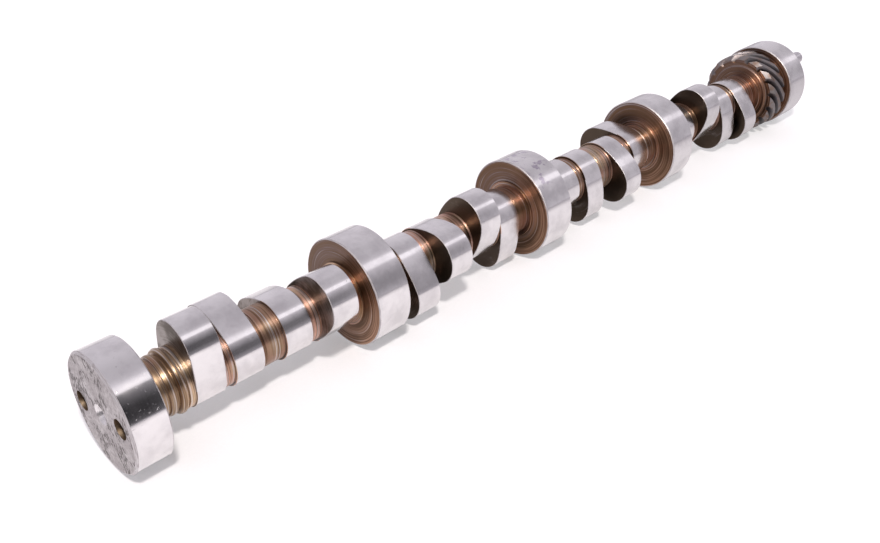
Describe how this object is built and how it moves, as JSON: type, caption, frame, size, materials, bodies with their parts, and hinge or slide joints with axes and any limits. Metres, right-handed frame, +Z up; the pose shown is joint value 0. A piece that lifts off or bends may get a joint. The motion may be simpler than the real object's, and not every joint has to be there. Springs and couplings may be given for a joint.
{
  "type": "camshaft",
  "caption": "Ground camshaft with stepped bearing journals, cam lobes, an integral helical drive gear and a sprocket locating pin in its front end.",
  "frame": {"origin": "on the shaft's axis at its rear end face", "axes": "+X along the shaft from its rear end to its front (drive) end, +Z up as it lies on its journals; the sprocket pin lies 38 degrees from +Z towards -Y"},
  "size_m": [0.505, 0.0528, 0.0528],
  "materials": {
    "cam_steel": "journals and lobes ground bright, necks, gear and side faces left turned under a brown copper flash",
    "pin_steel": "ground, satin"
  },
  "bodies": {
    "root": {"camshaft": "cam_steel", "dowel_pin": "pin_steel"}
  },
  "joints": []
}
